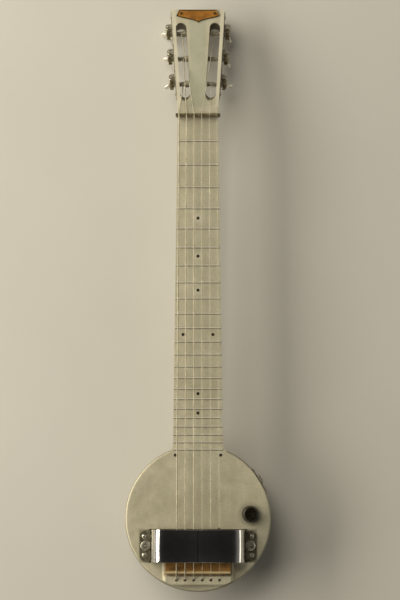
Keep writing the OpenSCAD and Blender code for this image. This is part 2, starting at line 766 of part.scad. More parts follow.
module pickup_bobbin() color("#241f1b") difference() {
    translate([0, pickup_y, 0]) {
        for (z = [leg_top, bobbin_top - flange_t])
            block([-bobbin_half, bobbin_half], [-bobbin_deep, bobbin_deep], [z, z + flange_t]);
        block([-core_half, core_half], [-core_deep, core_deep], [leg_top, bobbin_top]);
    }
    pole_places() translate([0, 0, leg_top - 1]) cylinder(h = 30, r = pole_r + thread_fit);
    clamp_places() translate([0, 0, leg_top - 1]) cylinder(h = flange_t, r = clamp_r + thread_fit);
}

module pickup_coil() color("#4a2c1a") translate([0, pickup_y, 0]) difference() {
    z = [leg_top + flange_t, bobbin_top - flange_t];
    block([-coil_half, coil_half], [-coil_deep, coil_deep], z);
    block([-core_half, core_half], [-core_deep, core_deep], [z[0] - 1, z[1] + 1]);
}

module pole_pieces() color("#6a675f") pole_places()
    translate([0, 0, leg_top]) cylinder(h = pole_top - leg_top, r = pole_r);

module ear_screws() color("#5a564d") for (x = [-1, 1], dy = [-1, 1])
    translate([x * ear_screw_x, pickup_y + dy * ear_screw_dy, face_z + ear_plate_t])
        screw(2.6, 1.4, ear_screw_r, ear_plate_t + face_wall - 0.5, 0.7);

module pickup_screws() color("#5a564d") for (x = [-1, 1])
    translate([x * big_screw_x, pickup_y, face_z + ear_plate_t])
        screw(big_head_r, 3, big_screw_r, ear_plate_t + face_wall + 2, 1.2);

module magnet_screws() color("#5a564d") clamp_places()
    translate([0, 0, magnet_low - floor_t]) mirror([0, 0, 1])
        screw(2.6, 1.6, clamp_r, floor_t + magnet_t + flange_t - 1.2, 0.7);

// ---- volume control ----

module at_pot() translate([knob_x, knob_y, 0]) children();

module volume_pot() color("#8c8676") at_pot() difference() {
    union() {
        translate([0, 0, face_z - face_wall - pot_h]) cylinder(h = pot_h, r = pot_r);
        translate([0, 0, face_z - face_wall - eps]) cylinder(h = bush_top - face_z + face_wall, r = bush_r);
        for (x = [-5, 0, 5]) block([-pot_r - 4, -pot_r + 2], [x - 1, x + 1],
            [face_z - face_wall - 3, face_z - face_wall - 2]);
    }
    translate([0, 0, face_z - face_wall - pot_h + 2])
        cylinder(h = 40, r = pot_shaft_r + run_fit);
}

module pot_nut() color("#a39d8c") at_pot() {
    difference() {
        translate([0, 0, face_z]) cylinder(h = washer_t, r = washer_r);
        translate([0, 0, face_z - 1]) cylinder(h = 9, r = bush_r + thread_fit);
    }
    difference() {
        translate([0, 0, face_z + washer_t + eps]) cylinder(h = pot_nut_h, r = pot_nut_r, $fn = 6);
        translate([0, 0, face_z - 1]) cylinder(h = 9, r = bush_r + thread_fit);
    }
}

module pot_shaft() color("#b1ab9a") at_pot()
    translate([0, 0, face_z - face_wall - pot_h + 2 + seat_gap])
        cylinder(h = knob_top - 3 - (face_z - face_wall - pot_h + 2 + seat_gap), r = pot_shaft_r);

module volume_knob() color("#171412") at_pot() {
    r = knob_d / 2;
    difference() {
        rotate_extrude($fn = 64) polygon([
            [0, knob_roof], [r - knob_wall, knob_roof], [r - knob_wall, face_z + knob_lift],
            [r - 0.4, face_z + knob_lift], [r, face_z + knob_lift + 1.5],
            [r - 0.5, knob_top - 4], [r - 1.4, knob_top - 1], [r - 3, knob_top], [0, knob_top]
        ]);
        translate([0, 0, face_z]) cylinder(h = knob_top - 2.7 - face_z, r = pot_shaft_r + thread_fit);
        translate([0, 0, knob_top - 6]) rotate([90, 0, 0]) cylinder(h = r + 1, r = 1.2);
    }
    translate([0, -pot_shaft_r - 0.1, knob_top - 6]) rotate([90, 0, 0]) cylinder(h = 3.5, r = 1.15);
}

// ---- output jack ----

module output_jack() color("#8c8676") jack_frame() difference() {
    union() {
        translate([jack_flat - jack_body[0], -jack_body[1] / 2, -jack_body[2] / 2]) cube(jack_body);
        translate([jack_flat - 1, 0, 0]) along_x(jack_nose - jack_flat + 1, jack_bush_r);
    }
    translate([jack_nose - jack_bore_len, 0, 0]) along_x(jack_bore_len + 1, jack_r);
}

module jack_nut() color("#a39d8c") jack_frame() difference() {
    translate([jack_top, 0, 0]) rotate([0, 90, 0]) cylinder(h = jack_nut_h, r = 7.4, $fn = 6);
    translate([jack_top - 1, 0, 0]) along_x(9, jack_bush_r + thread_fit);
}

module jack_plate() color("#a39d8c") jack_frame() difference() {
    translate([jack_flat, -jack_plate_size[1] / 2, -jack_plate_size[2] / 2]) cube(jack_plate_size);
    translate([jack_flat - 1, 0, 0]) along_x(9, jack_bush_r + slip_fit);
    for (side = [-1, 1]) translate([jack_flat - 1, side * jack_screw_y, 0])
        along_x(9, jack_screw_r + slip_fit);
}

module jack_plate_screws() color("#5a564d") jack_frame() for (side = [-1, 1])
    translate([jack_top, side * jack_screw_y, 0]) rotate([0, 90, 0])
        screw(2.3, 1.2, jack_screw_r, jack_plate_size[0] + 4, 0.6);

module wiring() color("#5d5140") {
    lug = [knob_x - pot_r - 3, knob_y, face_z - face_wall - 3 - wire_r];
    coil_y = pickup_y + bobbin_deep + wire_r + 0.1;
    wire_z = leg_top + 1.5;
    lead_wire([[notch_x, coil_y, wire_z], [notch_x, notch_y, wire_z], [notch_x, notch_y, 18],
        [lug[0], lug[1] - 5, 14], [lug[0], lug[1] - 5, lug[2]]], wire_r);
    jack_in = jack_flat - jack_body[0] - wire_r;
    way = [cos(jack_angle), sin(jack_angle), 0];
    lead_wire([[lug[0], lug[1] + 5, lug[2]], [lug[0], lug[1] + 5, 14],
        (jack_in - 6) * way + [0, 0, 14], jack_in * way + [0, 0, jack_z]], wire_r);
}

body_casting();
position_dots();
nut();
bridge_saddle();
badge_plate();
badge_pins();
tuner_plate(-1);  // tuner_plate_left
tuner_plate(1);  // tuner_plate_right
tuner_brackets(-1);  // tuner_brackets_left
tuner_brackets(1);  // tuner_brackets_right
tuner_plate_screws();
magnet(-1);  // magnet_left
magnet(1);  // magnet_right
pickup_frame();
pickup_bobbin();
pickup_coil();
pole_pieces();
ear_screws();
pickup_screws();
magnet_screws();
volume_pot();
pot_nut();
pot_shaft();
volume_knob();
output_jack();
jack_nut();
jack_plate();
jack_plate_screws();
wiring();
for (i = [1:6]) {
    string_body(i);
    post(i);
    gear(i);
    worm(i);
    button(i);
}
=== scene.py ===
# Looks for the cast-metal lap steel guitar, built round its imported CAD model
import json
import math
import bmesh
import bpy
from mathutils import Matrix, Vector


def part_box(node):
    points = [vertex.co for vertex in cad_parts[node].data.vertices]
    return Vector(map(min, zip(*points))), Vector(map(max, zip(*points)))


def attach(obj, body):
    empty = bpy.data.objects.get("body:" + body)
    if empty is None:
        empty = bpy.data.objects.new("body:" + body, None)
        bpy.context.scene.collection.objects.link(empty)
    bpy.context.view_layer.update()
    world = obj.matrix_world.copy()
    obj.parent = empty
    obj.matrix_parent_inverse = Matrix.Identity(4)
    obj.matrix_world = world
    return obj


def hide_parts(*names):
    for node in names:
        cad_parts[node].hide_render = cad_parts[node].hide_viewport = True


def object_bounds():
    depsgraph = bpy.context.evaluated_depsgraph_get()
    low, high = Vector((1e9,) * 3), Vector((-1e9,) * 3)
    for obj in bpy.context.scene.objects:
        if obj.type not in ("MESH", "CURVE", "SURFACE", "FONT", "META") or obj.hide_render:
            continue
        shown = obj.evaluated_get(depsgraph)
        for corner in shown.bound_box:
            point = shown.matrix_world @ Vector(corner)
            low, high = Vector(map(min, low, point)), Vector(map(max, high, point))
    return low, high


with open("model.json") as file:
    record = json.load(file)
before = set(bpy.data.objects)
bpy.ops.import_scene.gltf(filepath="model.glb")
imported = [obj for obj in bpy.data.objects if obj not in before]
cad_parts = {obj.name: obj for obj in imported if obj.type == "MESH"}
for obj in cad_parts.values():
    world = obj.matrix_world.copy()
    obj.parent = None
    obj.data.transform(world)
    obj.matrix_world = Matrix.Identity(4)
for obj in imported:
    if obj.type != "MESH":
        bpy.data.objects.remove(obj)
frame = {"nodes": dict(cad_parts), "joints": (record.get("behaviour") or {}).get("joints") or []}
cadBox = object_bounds()
mm = 0.001
onePoint = 1e-7            # verts closer together than this are merged
nodes = frame["nodes"]
joints = {joint["name"]: joint for joint in frame["joints"]}
keyNumbers = range(1, 7)   # strings and tuners: up the treble side, then back down the bass side


cameraSetup = {
    "place": (2.5 * mm, 24.0 * mm, 2503.0 * mm),
    "tilt": 5.724,            # degrees towards the headstock
    "lens": 118.9,
    "sensorHeight": 36.0,
}

lightSetup = [
    # name, place, what it faces, width and length along Y, power, colour, shows in mirrors
    ("keySoftbox", (-2.5, 0.75, 1.2), (0.0, 0.2, 0.0), (1.25, 3.9), 148.0, (1.0, 0.94, 0.79), True),
    ("topSoftbox", (-0.9, 1.5, 2.5), (0.0, 0.3, 0.0), (1.6, 2.0), 50.0, (1.0, 0.94, 0.79), False),
    ("rightFill", (1.9, -0.1, 0.26), (0.0, 0.1, 0.0), (0.4, 1.8), 4.0, (1.0, 0.95, 0.80), True),
]

skySetup = {
    # how bright the room is at each height, from straight down to straight up
    "steps": [(0.0, 0.32), (0.5, 0.34), (0.72, 0.22), (0.90, 0.035), (1.0, 0.018)],
    "warmth": (1, 0.96, 0.88),
}

floorSetup = {
    "size": 40.0,
    "drop": 0.0002,           # how far under the lowest point it lies
    "dark": (0.44, 0.425, 0.39),
    "pale": (0.47, 0.455, 0.42),
}


def makeCamera():
    data = bpy.data.cameras.new("frontCamera")
    data.sensor_fit = "VERTICAL"
    data.sensor_height = cameraSetup["sensorHeight"]
    data.lens = cameraSetup["lens"]
    data.dof.use_dof = False
    camera = bpy.data.objects.new("frontCamera", data)
    camera.location = cameraSetup["place"]
    camera.rotation_euler = (math.radians(cameraSetup["tilt"]), 0, 0)
    bpy.context.scene.collection.objects.link(camera)
    bpy.context.scene.camera = camera


def makeLights():
    for name, place, target, size, power, colour, mirrored in lightSetup:
        data = bpy.data.lights.new(name, "AREA")
        data.shape = "RECTANGLE"
        data.size, data.size_y = size
        data.energy = power
        data.color = colour
        light = bpy.data.objects.new(name, data)
        back = (Vector(place) - Vector(target)).normalized()
        across = Vector((0, 1, 0)).cross(back).normalized()
        light.matrix_world = basis(Vector(place), across, back.cross(across), back)
        light.visible_glossy = mirrored
        bpy.context.scene.collection.objects.link(light)


def makeSky():
    world = bpy.data.worlds.new("studio")
    world.use_nodes = True
    tree = world.node_tree
    coords = tree.nodes.new("ShaderNodeTexCoord")
    height = remap(tree, axisOf(tree, coords.outputs["Generated"], 2), -1, 1)
    steps = [(place, tuple(tone * part for part in skySetup["warmth"])) for place, tone in skySetup["steps"]]
    tree.links.new(ramp(tree, height, steps), tree.nodes["Background"].inputs["Color"])
    bpy.context.scene.world = world


# Shader helpers: each adds a node to the tree and gives back its output

def newMaterial(name, metallic=0.0, roughness=0.5):
    material = bpy.data.materials.new(name)
    material.use_nodes = True
    tree = material.node_tree
    shader = tree.nodes["Principled BSDF"]
    shader.inputs["Metallic"].default_value = metallic
    shader.inputs["Roughness"].default_value = roughness
    return material, tree, shader


def objectCoords(tree, scale=(1, 1, 1), centre=(0, 0, 0), turn=(0, 0, 0)):
    coords = tree.nodes.new("ShaderNodeTexCoord")
    mapping = tree.nodes.new("ShaderNodeMapping")
    mapping.inputs["Location"].default_value = [-c * s for c, s in zip(centre, scale)]
    mapping.inputs["Rotation"].default_value = turn
    mapping.inputs["Scale"].default_value = scale
    tree.links.new(coords.outputs["Object"], mapping.inputs["Vector"])
    return mapping.outputs["Vector"]


def noise(tree, vector, scale, detail=3.0, rough=0.55, distortion=0.0):
    node = tree.nodes.new("ShaderNodeTexNoise")
    node.inputs["Scale"].default_value = scale
    node.inputs["Detail"].default_value = detail
    node.inputs["Roughness"].default_value = rough
    node.inputs["Distortion"].default_value = distortion
    tree.links.new(vector, node.inputs["Vector"])
    return node.outputs["Fac"]


def grainAlong(tree, stretch, detail=3.0, rough=0.55, distortion=0.0):
    # noise that is finer along some axes than along others
    return noise(tree, objectCoords(tree, stretch), 1.0, detail, rough, distortion)


def ramp(tree, value, stops, smooth=False):
    node = tree.nodes.new("ShaderNodeValToRGB")
    node.color_ramp.interpolation = "EASE" if smooth else "LINEAR"
    elements = node.color_ramp.elements
    while len(elements) < len(stops):
        elements.new(0.5)
    for element, (place, colour) in zip(elements, stops):
        element.position = place
        element.color = (*colour, 1)
    tree.links.new(value, node.inputs["Fac"])
    return node.outputs["Color"]


def remap(tree, value, low, high, newLow=0.0, newHigh=1.0):
    node = tree.nodes.new("ShaderNodeMapRange")
    node.inputs["From Min"].default_value = low
    node.inputs["From Max"].default_value = high
    node.inputs["To Min"].default_value = newLow
    node.inputs["To Max"].default_value = newHigh
    tree.links.new(value, node.inputs["Value"])
    return node.outputs["Result"]


def plugIn(tree, socket, value):
    if isinstance(value, (int, float)):
        socket.default_value = value
    elif isinstance(value, tuple):
        socket.default_value = (*value, 1)
    else:
        tree.links.new(value, socket)


def mixColour(tree, factor, first, second, blend="MIX"):
    node = tree.nodes.new("ShaderNodeMix")
    node.data_type = "RGBA"
    node.blend_type = blend
    # a Mix node's colour sockets are its seventh and eighth, and its colour output its third
    for index, value in ((0, factor), (6, first), (7, second)):
        plugIn(tree, node.inputs[index], value)
    return node.outputs[2]


def maths(tree, operation, first, second=0.0):
    node = tree.nodes.new("ShaderNodeMath")
    node.operation = operation
    plugIn(tree, node.inputs[0], first)
    plugIn(tree, node.inputs[1], second)
    return node.outputs[0]


def times(tree, *factors):
    product = factors[0]
    for factor in factors[1:]:
        product = maths(tree, "MULTIPLY", product, factor)
    return product


def axisOf(tree, vector, axis):
    node = tree.nodes.new("ShaderNodeSeparateXYZ")
    tree.links.new(vector, node.inputs[0])
    return node.outputs[axis]


def distanceTo(tree, place, scale=(1, 1, 1)):
    node = tree.nodes.new("ShaderNodeVectorMath")
    node.operation = "LENGTH"
    tree.links.new(objectCoords(tree, scale, place), node.inputs[0])
    return node.outputs["Value"]


def addBump(tree, shader, height, strength, distance):
    node = tree.nodes.new("ShaderNodeBump")
    node.inputs["Strength"].default_value = strength
    node.inputs["Distance"].default_value = distance
    tree.links.new(height, node.inputs["Height"])
    tree.links.new(node.outputs["Normal"], shader.inputs["Normal"])


def paint(tree, shader, colour):
    tree.links.new(colour, shader.inputs["Base Color"])


neckSize = {
    "scaleLength": 571.5 * mm,
    "nutPlace": 505 * mm,     # up the neck from the pan's middle
    "faceHeight": 38.0 * mm,  # playing face above the pan's back
    "fretHeight": 0.9 * mm,
}


def dotPlace(number):
    # the middle of a fret space
    back = (2 ** (-number / 12) + 2 ** (-(number - 1) / 12)) / 2
    return (0, neckSize["nutPlace"] - neckSize["scaleLength"] * (1 - back), neckSize["faceHeight"])


castingLook = {
    "metallic": 0.45,
    "pale": (0.64, 0.60, 0.455),
    "middle": (0.545, 0.505, 0.375),
    "dark": (0.48, 0.44, 0.315),
    "pit": (0.25, 0.225, 0.16),
    # painted shade: on the fret flanks, in the headstock slots, on the pan's rim and round the ears and knob
    "paintedShade": (0.10, 0.085, 0.055),
    # pale for the fret crests: polish with a painted highlight
    "polishAndHighlight": (0.80, 0.77, 0.66),
    "rubbed": (0.74, 0.70, 0.56),
    # painted shade on the fret flanks, and polish with a painted highlight on the crests
    "flankShade": 0.78,
    "crestPolishAndHighlight": 0.7,
    "wornDots": (5, 7, 9),    # fret spaces where fingers rubbed the metal pale
    "panRadius": 90.5 * mm,
    "panTint": (0.92, 0.92, 0.91),
    # painted shade on the pan's rounded rim
    "rimShade": 0.6,
    "knobPlace": (64.5 * mm, 5.0 * mm, 38.0 * mm),
    "pickupPlace": (0, -34.0 * mm, 38.0 * mm),
    "earHalf": (72.0 * mm, 19.5 * mm),
    "headMiddle": (0.395, 0.40, 0.305),
    "headAngle": 12,
    "headStart": 510 * mm,
    "headFlare": 0.0605,
    "headHalfWidth": 25.5 * mm,
    "slotShade": 0.8,
}


def castTone(tree, space, patches, speckle):
    # mottled grey metal with pits and faint streaks along the neck
    look = castingLook
    clouds = noise(tree, space, 17.0, 4.0, 0.62, 0.4)
    streaks = grainAlong(tree, (420, 14, 420), 3.0, 0.6)
    base = ramp(tree, clouds, [(0.30, look["dark"]), (0.48, look["middle"]), (0.70, look["pale"])], True)
    patched = ramp(tree, patches, [(0.30, look["dark"]), (0.52, look["middle"]), (0.75, look["pale"])])
    colour = mixColour(tree, 0.42, base, patched)
    colour = mixColour(tree, remap(tree, speckle, 0.52, 0.78, 0.0, 0.5), colour, look["pit"])
    return mixColour(tree, remap(tree, streaks, 0.55, 0.72, 0.0, 0.30), colour, look["pale"])


def fretZones(tree, height):
    # how much a spot is on a fret's crest, which is painted pale for polish and a highlight, and how much on
    # its steep flanks, which get painted shade
    face, rise = neckSize["faceHeight"], neckSize["fretHeight"]
    geometry = tree.nodes.new("ShaderNodeNewGeometry")
    lean = axisOf(tree, geometry.outputs["Normal"], 1)
    overFace = remap(tree, height, face + 0.02 * mm, face + 0.1 * mm)
    underTop = remap(tree, height, face + 1.3 * mm, face + 1.2 * mm)
    onFret = times(tree, overFace, underTop)
    # painted shade is strongest on the tail-side flank, away from the light
    tailSide = remap(tree, lean, 0.05, -0.05, 0.35, 1.0)
    steep = remap(tree, maths(tree, "ABSOLUTE", lean), 0.25, 0.5)
    flank = times(tree, onFret, times(tree, tailSide, steep))
    crest = times(tree, onFret, remap(tree, height, face + 0.6 * rise, face + rise))
    return crest, flank


def rubRoundDots(tree, colour, patches):
    for number in castingLook["wornDots"]:
        spread = remap(tree, distanceTo(tree, dotPlace(number)), 8 * mm, 2.5 * mm, 0.0, 0.6)
        worn = times(tree, spread, remap(tree, patches, 0.3, 0.6, 0.4, 1.0))
        colour = mixColour(tree, worn, colour, castingLook["rubbed"])
    return colour


def toneHeadstock(tree, colour, space, height):
    # a greener middle, a painted highlight along the rails, and painted shade inside the slots
    look = castingLook
    slope = math.radians(look["headAngle"])
    run = maths(tree, "SUBTRACT", axisOf(tree, space, 1), look["headStart"])
    overFace = maths(tree, "SUBTRACT", height, neckSize["faceHeight"])
    depth = maths(tree, "ADD", times(tree, run, math.sin(slope)), times(tree, overFace, math.cos(slope)))
    across = maths(tree, "ABSOLUTE", axisOf(tree, space, 0))
    edge = maths(tree, "ADD", times(tree, run, look["headFlare"]), look["headHalfWidth"])
    fromEdge = maths(tree, "SUBTRACT", edge, across)
    onHead = remap(tree, run, 4 * mm, 9 * mm)
    middle = times(tree, onHead, remap(tree, across, 13 * mm, 9 * mm, 0.0, 0.6))
    colour = mixColour(tree, middle, colour, look["headMiddle"])
    # painted highlight along the rails beside the slots, in the pale rubbed tone
    rail = times(tree, onHead, remap(tree, fromEdge, 6 * mm, 4 * mm, 0.0, 0.55))
    colour = mixColour(tree, rail, colour, look["rubbed"])
    # painted shade inside the slots
    underTop = remap(tree, depth, -0.4 * mm, -3 * mm)
    overBack = remap(tree, depth, -19.6 * mm, -19 * mm)
    insideRail = remap(tree, fromEdge, 1.9 * mm, 2.1 * mm)
    inSlot = times(tree, underTop, overBack, insideRail, onHead, look["slotShade"])
    return mixColour(tree, inSlot, colour, look["paintedShade"])


def darkenPan(tree, colour, height):
    # the pan is painted a little darker than the neck, and its rounded rim gets painted shade
    look = castingLook
    radius, face = look["panRadius"], neckSize["faceHeight"]
    fromAxis = distanceTo(tree, (0, 0, 0), (1, 1, 0))
    onPan = remap(tree, fromAxis, radius + 4 * mm, radius - 16 * mm)
    colour = mixColour(tree, onPan, colour, look["panTint"], "MULTIPLY")
    # painted shade on the rounded rim below the face
    inRim = remap(tree, fromAxis, radius - 3.6 * mm, radius - 1.2 * mm, 0.0, look["rimShade"])
    nearPan = remap(tree, fromAxis, radius + 4 * mm, radius + 1 * mm)
    underFace = remap(tree, height, face - 0.05 * mm, face - 0.6 * mm)
    return mixColour(tree, times(tree, inRim, nearPan, underFace), colour, look["paintedShade"])


def shadeRoundFittings(tree, colour, patches):
    # painted shade along the foot of the pickup's ears, and a painted shadow round the volume knob
    look = castingLook
    fromPickup = objectCoords(tree, (1, 1, 1), look["pickupPlace"])
    outside = [maths(tree, "SUBTRACT", maths(tree, "ABSOLUTE", axisOf(tree, fromPickup, axis)), half)
        for axis, half in enumerate(look["earHalf"])]
    fromEars = maths(tree, "MAXIMUM", *outside)
    # painted shade along the foot of the ears
    alongEars = times(tree, remap(tree, fromEars, 1.9 * mm, 0.1 * mm, 0.0, 0.55),
        remap(tree, patches, 0.32, 0.58, 0.25, 1.0))
    colour = mixColour(tree, alongEars, colour, look["paintedShade"])
    # painted shadow round the knob
    fromKnob = distanceTo(tree, look["knobPlace"])
    knobShade = times(tree, remap(tree, fromKnob, 17 * mm, 9 * mm, 0.0, 0.75),
        remap(tree, patches, 0.3, 0.62, 0.25, 1.0))
    return mixColour(tree, knobShade, colour, look["paintedShade"])


def castAluminium():
    look = castingLook
    material, tree, shader = newMaterial("castAluminium", look["metallic"])
    space = objectCoords(tree)
    height = axisOf(tree, space, 2)
    patches = noise(tree, space, 62.0, 5.0, 0.6, 0.2)
    speckle = noise(tree, space, 520.0, 3.0, 0.7)
    crest, flank = fretZones(tree, height)
    colour = castTone(tree, space, patches, speckle)
    # painted shade on the fret flanks, then polish and a painted highlight on their crests
    colour = mixColour(tree, times(tree, flank, look["flankShade"]), colour, look["paintedShade"])
    colour = mixColour(tree, times(tree, crest, look["crestPolishAndHighlight"]), colour, look["polishAndHighlight"])
    colour = rubRoundDots(tree, colour, patches)
    colour = toneHeadstock(tree, colour, space, height)
    colour = darkenPan(tree, colour, height)
    colour = shadeRoundFittings(tree, colour, patches)
    paint(tree, shader, colour)
    rough = maths(tree, "ADD", remap(tree, patches, 0.3, 0.7, 0.40, 0.56),
        remap(tree, speckle, 0.4, 0.8, 0.0, 0.12))
    rough = maths(tree, "SUBTRACT", rough, times(tree, crest, 0.14))
    tree.links.new(rough, shader.inputs["Roughness"])
    grain = maths(tree, "ADD", noise(tree, space, 900.0, 4.0, 0.65),
        times(tree, noise(tree, space, 130.0, 2.0, 0.5), 1.6))
    addBump(tree, shader, grain, 0.32, 0.25 * mm)
    return material


def blackEnamel():
    material, tree, shader = newMaterial("blackEnamel", roughness=0.35)
    space = objectCoords(tree)
    tone = noise(tree, space, 900.0, 2.0)
    paint(tree, shader, ramp(tree, tone, [(0.35, (0.012, 0.010, 0.008)), (0.7, (0.045, 0.038, 0.028))]))
    addBump(tree, shader, noise(tree, space, 1500.0, 2.0), 0.2, 0.1 * mm)
    return material


# Aged metals: tones, metallic, smoothest and roughest, then patch scale, bump and how many dark spots
agedMetals = {
    # the nut's dark tones are painted shade
    "nut": {"name": "nutShadedMetal", "pale": (0.33, 0.285, 0.165), "dark": (0.11, 0.092, 0.05),
        "metallic": 0.75, "rough": (0.38, 0.55), "scale": 150.0, "bump": 0.25},
    "badgeField": {"name": "badgeCopper", "pale": (0.47, 0.205, 0.038), "dark": (0.26, 0.105, 0.02),
        "metallic": 0.55, "rough": (0.36, 0.52), "scale": 70.0, "bump": 0.2, "spots": 0.25},
    "badgeRim": {"name": "badgeBrass", "pale": (0.17, 0.125, 0.05), "dark": (0.05, 0.036, 0.015),
        "metallic": 0.8, "rough": (0.36, 0.55), "scale": 260.0, "bump": 0.2},
    "nickel": {"name": "wornNickel", "pale": (0.74, 0.70, 0.58), "dark": (0.22, 0.19, 0.13),
        "metallic": 0.8, "rough": (0.24, 0.46), "scale": 330.0, "bump": 0.12},
    "button": {"name": "buttonNickel", "pale": (0.90, 0.87, 0.77), "dark": (0.62, 0.58, 0.47),
        "metallic": 0.6, "rough": (0.2, 0.4), "scale": 150.0, "bump": 0.06},
    "gearBrass": {"name": "gearBrass", "pale": (0.46, 0.39, 0.24), "dark": (0.07, 0.055, 0.028),
        "metallic": 0.85, "rough": (0.26, 0.46), "scale": 260.0, "bump": 0.2},
    "screw": {"name": "screwSteel", "pale": (0.66, 0.63, 0.53), "dark": (0.26, 0.235, 0.17),
        "metallic": 0.8, "rough": (0.26, 0.46), "scale": 320.0, "bump": 0.15},
    # the pickup frame's dark tones are painted shade
    "frame": {"name": "shadedFrameNickel", "pale": (0.30, 0.275, 0.20), "dark": (0.10, 0.088, 0.058),
        "metallic": 0.75, "rough": (0.34, 0.5), "scale": 170.0, "bump": 0.2},
    "plainString": {"name": "plainString", "pale": (0.62, 0.58, 0.46), "dark": (0.40, 0.37, 0.28),
        "metallic": 0.75, "rough": (0.42, 0.58), "scale": 200.0, "bump": 0.05},
}


def agedMetal(name, pale, dark, metallic, rough, scale, bump, spots=0.4):
    # colour and roughness wander between two tones, with dark spots
    material, tree, shader = newMaterial(name, metallic)
    space = objectCoords(tree)
    broad = noise(tree, space, scale, 4.0, 0.6, 0.3)
    fine = noise(tree, space, scale * 7, 3.0, 0.7)
    colour = ramp(tree, broad, [(0.32, dark), (0.66, pale)], True)
    paint(tree, shader, mixColour(tree, remap(tree, fine, 0.55, 0.8, 0.0, spots), colour, dark))
    smoothest, roughest = rough
    tree.links.new(remap(tree, broad, 0.3, 0.7, roughest, smoothest), shader.inputs["Roughness"])
    addBump(tree, shader, fine, bump, 0.12 * mm)
    return material


saddleLook = {
    "metallic": 0.55,
    "bright": (0.80, 0.66, 0.38),
    "warm": (0.58, 0.34, 0.12),
    "brown": (0.44, 0.23, 0.07),
    "deep": (0.17, 0.09, 0.032),
    "crestHeight": 49.3 * mm,
}


def agedBrass():
    # brown tarnish, rubbed bright along the crest
    look = saddleLook
    material, tree, shader = newMaterial("agedBrass", look["metallic"])
    space = objectCoords(tree)
    broad = grainAlong(tree, (60, 200, 60), 4.0, 0.65, 0.4)
    fine = noise(tree, space, 900.0, 3.0, 0.7)
    colour = ramp(tree, broad, [(0.3, look["deep"]), (0.5, look["brown"]), (0.78, look["warm"])], True)
    colour = mixColour(tree, remap(tree, fine, 0.55, 0.8, 0.0, 0.5), colour, look["deep"])
    crest = look["crestHeight"]
    rubbed = remap(tree, axisOf(tree, space, 2), crest - 0.9 * mm, crest - 0.2 * mm)
    paint(tree, shader, mixColour(tree, times(tree, rubbed, 0.85), colour, look["bright"]))
    tree.links.new(remap(tree, broad, 0.3, 0.7, 0.55, 0.38), shader.inputs["Roughness"])
    addBump(tree, shader, maths(tree, "ADD", fine, grainAlong(tree, (900, 60, 900))), 0.25, 0.15 * mm)
    return material


def magnetChrome():
    # chrome plate: near mirror, with faint haze and fine scratches
    material, tree, shader = newMaterial("magnetChrome", metallic=1.0)
    haze = noise(tree, objectCoords(tree), 90.0, 4.0, 0.65, 0.5)
    scratch = noise(tree, objectCoords(tree, (1500, 60, 300), turn=(0, 0, 0.5)), 1.0, 2.0, 0.5)
    paint(tree, shader, ramp(tree, haze, [(0.3, (0.52, 0.51, 0.49)), (0.7, (0.66, 0.65, 0.63))]))
    rough = maths(tree, "ADD", remap(tree, haze, 0.35, 0.75, 0.05, 0.12),
        remap(tree, scratch, 0.62, 0.72, 0.0, 0.10))
    tree.links.new(rough, shader.inputs["Roughness"])
    addBump(tree, shader, scratch, 0.04, 0.05 * mm)
    return material


def knobBakelite():
    material, tree, shader = newMaterial("knobBakelite", roughness=0.3)
    space = objectCoords(tree)
    swirl = noise(tree, space, 240.0, 4.0, 0.6, 1.2)
    paint(tree, shader, ramp(tree, swirl, [(0.35, (0.003, 0.0025, 0.001)), (0.7, (0.010, 0.008, 0.004))]))
    tree.links.new(remap(tree, swirl, 0.3, 0.7, 0.22, 0.36), shader.inputs["Roughness"])
    shader.inputs["Specular IOR Level"].default_value = 0.3
    addBump(tree, shader, noise(tree, space, 1400.0, 2.0), 0.08, 0.08 * mm)
    return material


def woundString(name, pale, dark, pitch):
    # wire wrapped round a core: fine rings along the string's length
    material, tree, shader = newMaterial(name, metallic=0.6, roughness=0.55)
    wave = tree.nodes.new("ShaderNodeTexWave")
    wave.wave_type = "BANDS"
    wave.bands_direction = "Y"
    wave.inputs["Scale"].default_value = 1.0
    wave.inputs["Distortion"].default_value = 0.0
    perMetre = 1 / pitch
    tree.links.new(objectCoords(tree, (perMetre, perMetre, perMetre)), wave.inputs["Vector"])
    wear = noise(tree, objectCoords(tree), 120.0, 3.0)
    paint(tree, shader, ramp(tree, wear, [(0.35, dark), (0.68, pale)]))
    addBump(tree, shader, wave.outputs["Fac"], 0.2, 0.04 * mm)
    return material


def clothWire():
    material, tree, shader = newMaterial("clothWire", roughness=0.9)
    weave = noise(tree, objectCoords(tree), 1600.0, 2.0)
    paint(tree, shader, ramp(tree, weave, [(0.35, (0.16, 0.13, 0.08)), (0.68, (0.36, 0.31, 0.21))]))
    addBump(tree, shader, weave, 0.6, 0.2 * mm)
    return material


def coilTape():
    material, tree, shader = newMaterial("coilTape", roughness=0.7)
    layers = grainAlong(tree, (30, 30, 2200), 2.0)
    paint(tree, shader, ramp(tree, layers, [(0.35, (0.08, 0.035, 0.015)), (0.7, (0.22, 0.11, 0.05))]))
    addBump(tree, shader, layers, 0.5, 0.1 * mm)
    return material


def blackFibre():
    material, tree, shader = newMaterial("blackFibre", roughness=0.75)
    fibre = grainAlong(tree, (300, 900, 300), 3.0)
    paint(tree, shader, ramp(tree, fibre, [(0.35, (0.012, 0.010, 0.009)), (0.7, (0.045, 0.038, 0.032))]))
    addBump(tree, shader, noise(tree, objectCoords(tree), 1100.0, 3.0), 0.25, 0.1 * mm)
    return material


materials = {key: agedMetal(**look) for key, look in agedMetals.items()}
materials.update({
    "casting": castAluminium(),
    "enamel": blackEnamel(),
    "saddle": agedBrass(),
    "chrome": magnetChrome(),
    "bobbin": blackFibre(),
    "coil": coilTape(),
    "bakelite": knobBakelite(),
    "wire": clothWire(),
    "woundThin": woundString("woundStringThin", (0.56, 0.52, 0.40), (0.36, 0.325, 0.235), 0.35 * mm),
    "woundThick": woundString("woundStringThick", (0.52, 0.48, 0.36), (0.32, 0.29, 0.21), 0.5 * mm),
})

